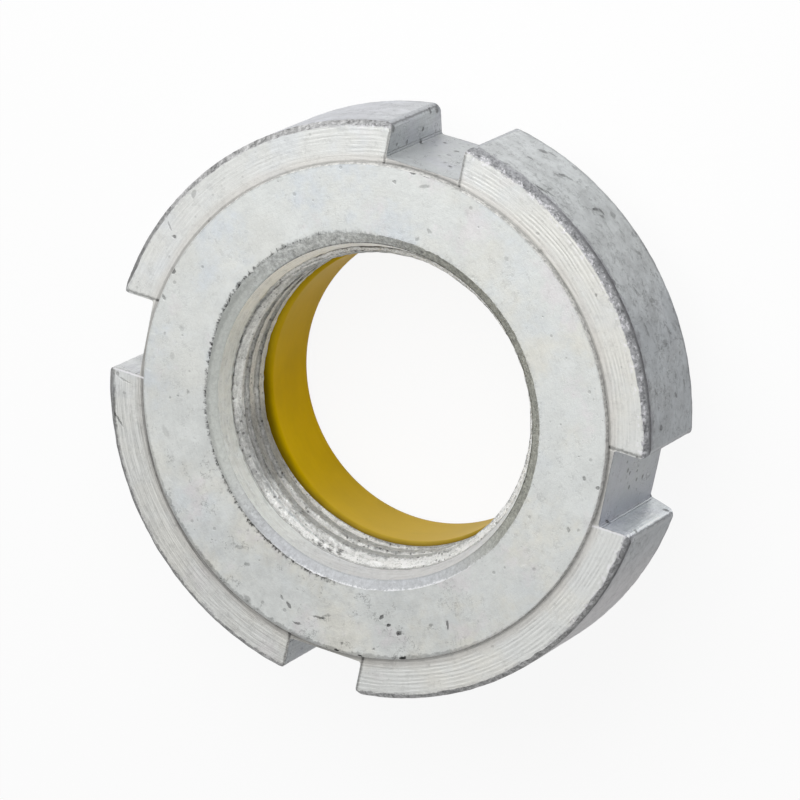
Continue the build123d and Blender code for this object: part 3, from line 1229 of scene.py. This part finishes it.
# %% Finish of the thread
skin = Zinc("zinc_thread")
turned = skin.y.maths("ARCTAN2", skin.y, skin.x)
turns = (face_height - first_crest_depth - skin.z) / pitch + turned / (2 * math.pi)
shifted = turns + skin.cloud((6, 0, 0.5), 3, 0.7) * 0.16 + 0.42
past_crest = shifted.maths("FRACT", shifted) - 0.5
from_crest = abs(past_crest)
streaks = skin.swing((8, 3, 7), 5, 0.8)
tears = skin.swing((22, 1, 3), 5, 0.8, 80)
grit = skin.swing(3.4, 5, 0.85, 81)
flecks = skin.specks(2.8, 0.5, 0.45)
crest = skin.fall(from_crest, crest_half - 0.08, crest_half + 0.02) * skin.fall(skin.radius, 13.42, 13.62)
edge = skin.near(past_crest, -crest_half, 0.065)
left_side = skin.side(82, 0.8, 0.96)
start_line = skin.near(skin.z + streaks * 0.05, start_height, 0.11)
root = skin.rise(from_crest, root_start - 0.08, root_start)
lower_side = skin.side(180, 0, 0.7)
scraped = skin.side(124, 0.95, 0.985)
# Painted light and shade: flanks lighter than crests, crests lighter on the left side, roots dark.
crest_tint = skin.mix(left_side, (0.5, 0.52, 0.53), (0.82, 0.83, 0.81))
tint = skin.mix(crest, skin.mix(left_side * 0.8, (0.96, 0.97, 0.96), (0.66, 0.67, 0.65)), crest_tint)
tint = skin.mix(root, tint, (0.2, 0.2, 0.185))
tint = skin.mix(scraped * 0.75, tint, (0.4, 0.405, 0.4))
clump_spots = [(-13.3, 3.1, 14.1, 0.6), (-13.4, 2.2, 13.9, 0.6), (-13.6, 1.3, 13.8, 0.5)]
clump = skin.marks(skin.warped(1.6, 0.9), dot, clump_spots) * skin.blots(0.49, 0.53, (24, 3, 4), 5, 0.8, 83)
rough = 1 - (lower_side * 0.2).at_least(left_side * 0.35)
shade = 1 + (streaks * 0.15 + tears * 0.18 + grit * 0.22) * rough
# Painted shade: a dark line along one edge of each crest.
shade = shade - flecks * 0.45 - edge * (left_side * 0.1 + 0.45) - start_line * 0.4 - clump * 0.6
colour = skin.shade(tint, shade.at_least(0.12))
height = streaks * 0.006 + tears * 0.014 + grit * 0.018 - flecks * 0.03 - clump * 0.08
skin.close(colour, 0.42, height, 0.45)

# %% [markdown]
# ## Slots and back
#
# The slots were milled: their floors are finely pitted and bluish grey, and the cutter left faint lines
# along each wall and one deeper line near the foot. They are glossy enough for a floor and a wall to
# mirror each other, and some floors and walls carry painted light and shade as well. Nothing of the back
# shows in the photograph. It is the same steel, turned, with its lip rolled over and burnished by the
# roller.

# %% Pits of the slots
slot_marks = [
    (21.75, 2.1, 6.5, 0.28), (21.75, 0.35, 7.9, 0.34), (21.75, -1.2, 11, 0.22, 0.8),
    (21.75, -1.2, 12.7, 0.3), (21.75, 0.3, 9.6, 0.26, 0.8), (21.75, 0.8, 10.6, 0.22, 0.7),
    (21.75, -0.4, 12, 0.22, 0.7), (21.75, -2.2, 9.8, 0.3, 0.9), (21.75, -2.4, 12.2, 0.24, 0.8),
    (1.5, -21.75, 12, 0.24, 0.8), (0.6, -21.75, 11.4, 0.32), (0.2, -21.75, 10.8, 0.24),
    (-0.9, -21.75, 7.3, 0.28), (-0.85, -21.75, 8.7, 0.24), (-1.2, -21.75, 10.2, 0.3),
    (0, -21.75, 9, 0.24, 0.8), (23, 3.4, 8.8, 0.36), (24.3, 3.4, 6.3, 0.5), (24.4, 3.5, 7.6, 0.36),
    (21.9, 3.4, 8.8, 0.36), (22.4, 3.4, 11.9, 0.34, 0.8), (24.2, 3.5, 15.4, 0.5),
    (22.6, 3.4, 14, 0.26, 0.7), (-3.4, -21.9, 14.1, 0.34), (-3.4, -24.1, 6.4, 0.42),
    (-3.4, -24.3, 13.7, 0.34, 0.8),
]
print(len(slot_marks), "single pits in the slots")

# %% Finish of the slots
slot_begins = (19, 20)
skin = Zinc("zinc_slot")
tint = skin.mix(0.8, skin.plating(91), (0.48, 0.51, 0.535))
outward = abs(skin.x).at_least(abs(skin.y))
patches = skin.swing(0.5, 6, 0.75, 92)
grain = skin.swing(3.6, 5, 0.75)
milling = skin.swing(1, 3, 0.6, 0, skin.stretched(5, 5, 0.4))
flecks = skin.specks(1.7, 0.34, 0.36)
dents = skin.marks(skin.warped(2.2, 0.34), dot, slot_marks)
ragged = skin.cloud(2, 5, 0.8, 95)
on_wall = skin.rise(outward, slot_floor + 0.03, slot_floor + 0.2)
foot_line = skin.near(outward, slot_floor + 0.37, 0.09)
foot_line = foot_line.at_least(skin.near(outward, slot_floor + 0.09, 0.08))
front_edge = skin.rise(skin.z + ragged * 0.8, 16.1, 16.25)
rear_rise = skin.z - outward * bevel_slope - ragged * 0.4
rear_edge = skin.fall(rear_rise, 5.75 - rim_radius * bevel_slope, 5.95 - rim_radius * bevel_slope)
border = skin.radius + ragged * 0.5
folded = skin.near(border, rim_radius + 0.06, 0.14)
rim_part = skin.rise(border, rim_radius + 0.08, rim_radius + 0.14)
lilac = skin.blots(0.46, 0.64, 0.3, 3, 0.6, 97)
on_minus_y = skin.rise(0 - skin.y, *slot_begins)
left_wall = skin.near(skin.x, -slot_half - 0.1, 0.3) * on_wall
lit_wall = left_wall * on_minus_y
# Painted shade: the floor of the slot at -Y is darker and bluer towards its wall at -X.
corner = skin.rise(0 - skin.x, 0, 3.2) * on_minus_y * (1 - on_wall)
tint = skin.mix(corner * 0.6, tint, (0.36, 0.39, 0.47))
# Painted light: the floor of the slot at +X, which faces the lamp, is tinted lighter.
tint = skin.mix(skin.rise(skin.x, *slot_begins) * (0.6 - on_wall * 0.6), tint, (0.6, 0.62, 0.62))
# Painted light: the lamp-facing wall of the slot at +Y is tinted lighter.
sunny_wall = left_wall * skin.rise(skin.y, *slot_begins)
tint = skin.mix(sunny_wall, tint, (0.78, 0.79, 0.78))
tint = skin.mix(lilac * 0.35, tint, (0.52, 0.52, 0.59))
shade = 1 + patches * 0.06 + grain * 0.045 + milling * (on_wall * 0.07 + 0.01)
shade = shade - dents * 0.65 - flecks * 0.22 - foot_line * on_wall * 0.45 - front_edge * 0.35
shade = shade - rear_edge * 0.25
colour = skin.shade(tint, shade.at_least(0.1))
# Painted light: the lit wall of the slot at -Y is made nearly twice as bright.
colour = skin.mix(lit_wall * 0.9, colour, skin.shade(colour, 1.95))
colour = skin.mix(rim_part * 0.7, colour, (0.5, 0.515, 0.54))
colour = skin.mix(folded * 0.75, colour, (0.12, 0.12, 0.13))
height = grain * 0.004 + milling * 0.003 - dents * 0.08 - flecks * 0.02 - foot_line * 0.03
height = height - front_edge * 0.03
skin.close(colour, 0.3 + patches * 0.03 - lit_wall * 0.08, height, lit_wall * 0.65 + 0.2)

# %% Finish of the back
skin = Zinc("zinc_back")
tint = skin.plating(101)
lines = skin.swing((4, 9, 3), 3, 0.6)
grain = skin.swing(3, 4, 0.65)
smears = skin.blots(0.55, 0.7, 0.9, 6, 0.8, 103, skin.warped(0.9, 1.4))
flecks = skin.specks(1.6, 0.16, 0.28)
shade = 0.94 + lines * 0.045 + grain * 0.03 - smears * 0.12 - flecks * 0.22
height = lines * 0.004 + grain * 0.003 - flecks * 0.02
skin.close(skin.shade(tint, shade), 0.42, height, 0.35)

# %% Every zone gets its finish
for name in finish_order:
    nut_steel.data.materials.append(bpy.data.materials["zinc_" + name])
print(len(finish_order), "finishes on the steel")

# %% [markdown]
# ## Yellow polyamide
#
# The ring is smooth moulded plastic, deep yellow and a little brown. Its front edge, in the recess under
# the steel, is painted dark olive as shade. The side at 50 degrees is painted lighter, the lamp-lit side
# darker, and a painted sheen lies on the side at 215 degrees.

# %% Finish of the ring
skin = Skin("yellow_polyamide")
clouds = skin.cloud(0.22, 3, 0.5)
fine = skin.cloud((8, 0, 2), 3, 0.6)
painted_sheen = skin.side(215, 0.2, 1)
high_side = skin.side(50, 0.55, 0.95)
tint = skin.mix(skin.rise(clouds, 0.35, 0.65), (0.93, 0.63, 0), (0.86, 0.58, 0))
# Painted light: the side at 50 degrees is tinted lighter.
tint = skin.mix(high_side * 0.8, tint, (1, 0.7, 0.03))
# Painted sheen on the side at 215 degrees.
tint = skin.mix(painted_sheen * 0.4, tint, (0.84, 0.62, 0.22))
# Painted shade: the side at 205 degrees, which the lamp lights, is darker.
lit_side = skin.side(205, -0.2, 0.8)
# Painted shade: the front edge, in the recess under the steel, is dark olive.
edge = skin.rise(skin.z + fine * 0.2, 8, 8.75) * (1 - high_side * 0.8)
colour = skin.mix(edge * 0.85, skin.shade(tint, 1 - lit_side * 0.27), (0.075, 0.045, 0))
colour = skin.shade(colour, 1 + (fine - 0.5) * 0.08)
skin.close(colour, 0.42, fine * 0.006, 0, **{"Specular IOR Level": 0.03})
polyamide_ring.data.materials.append(skin.material)

# %% [markdown]
# ## Floor, light and camera
#
# The nut lies on a white floor in soft light from the top of the picture, and the camera looks down on
# it at the photograph's angle, strongly rolled, because the nut in the photograph stands on edge.
#
# The floor is paper that glows. The camera sees nearly plain white with a faint shadow, and the steel
# mirrors three quarters of that white. All other rays meet greyer paper, so that the nut's own shadow
# darkens its lower side.

# %% Floor
floor_size = 3.0
half = floor_size / 2
floor_mesh = bpy.data.meshes.new("floor")
floor_corners = [(-half, -half, 0), (half, -half, 0), (half, half, 0), (-half, half, 0)]
floor_mesh.from_pydata(floor_corners, [], [(0, 1, 2, 3)])
floor = bpy.data.objects.new("floor", floor_mesh)
bpy.context.scene.collection.objects.link(floor)
print(f"floor {floor_size} m square")

# %% Paper of the floor
grey_of_paper = 0.62
grey_to_camera = 0.95
white_to_camera = 0.91
white_to_steel = 0.75


def plain(finish, kind, grey, **strength):
    """A shader of one even grey."""
    return finish.node(kind, None, {"Color": (grey, grey, grey, 1), **strength})


def blend(finish, factor, first, second):
    return finish.node("ShaderNodeMixShader", None, {0: factor, 1: first, 2: second})


def seen_by(finish, to_camera, to_steel):
    """How much of the plain white a ray sees: one share from the camera, one off gloss or through glass."""
    camera_ray = finish.node("ShaderNodeLightPath", out="Is Camera Ray")
    glossy_ray, clear_ray = camera_ray.other("Is Glossy Ray"), camera_ray.other("Is Transmission Ray")
    return (camera_ray * to_camera).at_least(glossy_ray.at_least(clear_ray) * to_steel)


paint = Finish("floor_paint")
grey_paper = plain(paint, "ShaderNodeBsdfDiffuse", grey_of_paper)
pale_paper = plain(paint, "ShaderNodeBsdfDiffuse", grey_to_camera)
camera_ray = paint.node("ShaderNodeLightPath", out="Is Camera Ray")
paper = blend(paint, camera_ray, grey_paper, pale_paper)
glow = plain(paint, "ShaderNodeEmission", 1, Strength=1)
floor_mix = blend(paint, seen_by(paint, white_to_camera, white_to_steel), paper, glow)
paint.node("ShaderNodeOutputMaterial", None, {"Surface": floor_mix})
floor_mesh.materials.append(paint.material)
print("finish", paint.material.name, "has", len(paint.tree.nodes), "nodes")

# %% World
dim_light = 0.25
world = bpy.data.worlds.new("studio")
bpy.context.scene.world = world
world.use_nodes = True
studio = Finish("studio", world.node_tree)
dim = plain(studio, "ShaderNodeBackground", 1, Strength=dim_light)
white = plain(studio, "ShaderNodeBackground", 1, Strength=1)
sky = blend(studio, seen_by(studio, 1, 1), dim, white)
studio.node("ShaderNodeOutputWorld", None, {"Surface": sky})
print(f"light from all sides {dim_light}, seen as plain white")


# %% Lamp
def direction(azimuth, elevation):
    """The direction from the nut, in degrees round it and above the floor."""
    turn, climb = math.radians(azimuth), math.radians(elevation)
    return Vector((math.cos(climb) * math.cos(turn), math.cos(climb) * math.sin(turn), math.sin(climb)))


lamp_distance = 0.22
lamp = bpy.data.lights.new("key_lamp", "AREA")
lamp.shape = "SQUARE"
lamp.size = 0.22
lamp.energy = 0.46
key_lamp = bpy.data.objects.new("key_lamp", lamp)
to_lamp = direction(15, 50)
key_lamp.location = to_lamp * lamp_distance
key_lamp.rotation_euler = to_lamp.to_track_quat("Z", "Y").to_euler()
bpy.context.scene.collection.objects.link(key_lamp)
print(f"lamp {lamp_distance} m away, {lamp.energy:.2f} W")

# %% Camera
camera_roll = math.radians(-116.997)
camera_distance = 562.4
camera_aim = Vector((1.529, -1.849, 15.107))
back = direction(-48.264, 62.888)
level_right = Vector((0, 0, 1)).cross(back).normalized()
level_up = back.cross(level_right)
right = level_right * math.cos(camera_roll) + level_up * math.sin(camera_roll)
up = back.cross(right)

lens = bpy.data.cameras.new("camera")
lens.sensor_width = 36
lens.lens = 299.84
lens.clip_start = 0.01
camera = bpy.data.objects.new("camera", lens)
turned = Matrix((right, up, back)).transposed().to_4x4()
camera.matrix_world = Matrix.Translation((camera_aim + back * camera_distance) * METRE) @ turned
bpy.context.scene.collection.objects.link(camera)
bpy.context.scene.camera = camera
bpy.context.scene.view_settings.view_transform = "Standard"
print(f"camera {camera_distance} mm away")
